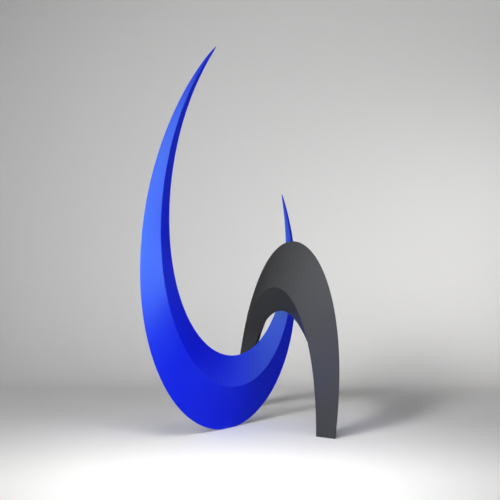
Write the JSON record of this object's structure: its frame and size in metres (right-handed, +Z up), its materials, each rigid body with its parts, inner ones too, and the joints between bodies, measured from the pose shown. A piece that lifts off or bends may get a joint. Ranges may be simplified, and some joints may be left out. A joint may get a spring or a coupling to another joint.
{
  "type": "abstract metal sculpture",
  "caption": "Abstract painted metal sculpture: a tall blue crescent with pointed horns, its short arm passing through a low dark grey arch.",
  "frame": {"origin": "on the floor, at the bottom centre of the bounding box", "axes": "+Z up, the tallest direction; the pictured front is seen looking along +Y"},
  "size_m": [0.3676, 0.5816, 0.7575],
  "materials": {
    "blue_paint": "smooth satin ultramarine paint",
    "grey_paint": "smooth matt charcoal grey paint"
  },
  "bodies": {
    "root": {"blue_crescent": "blue_paint", "grey_arch": "grey_paint"}
  },
  "joints": []
}
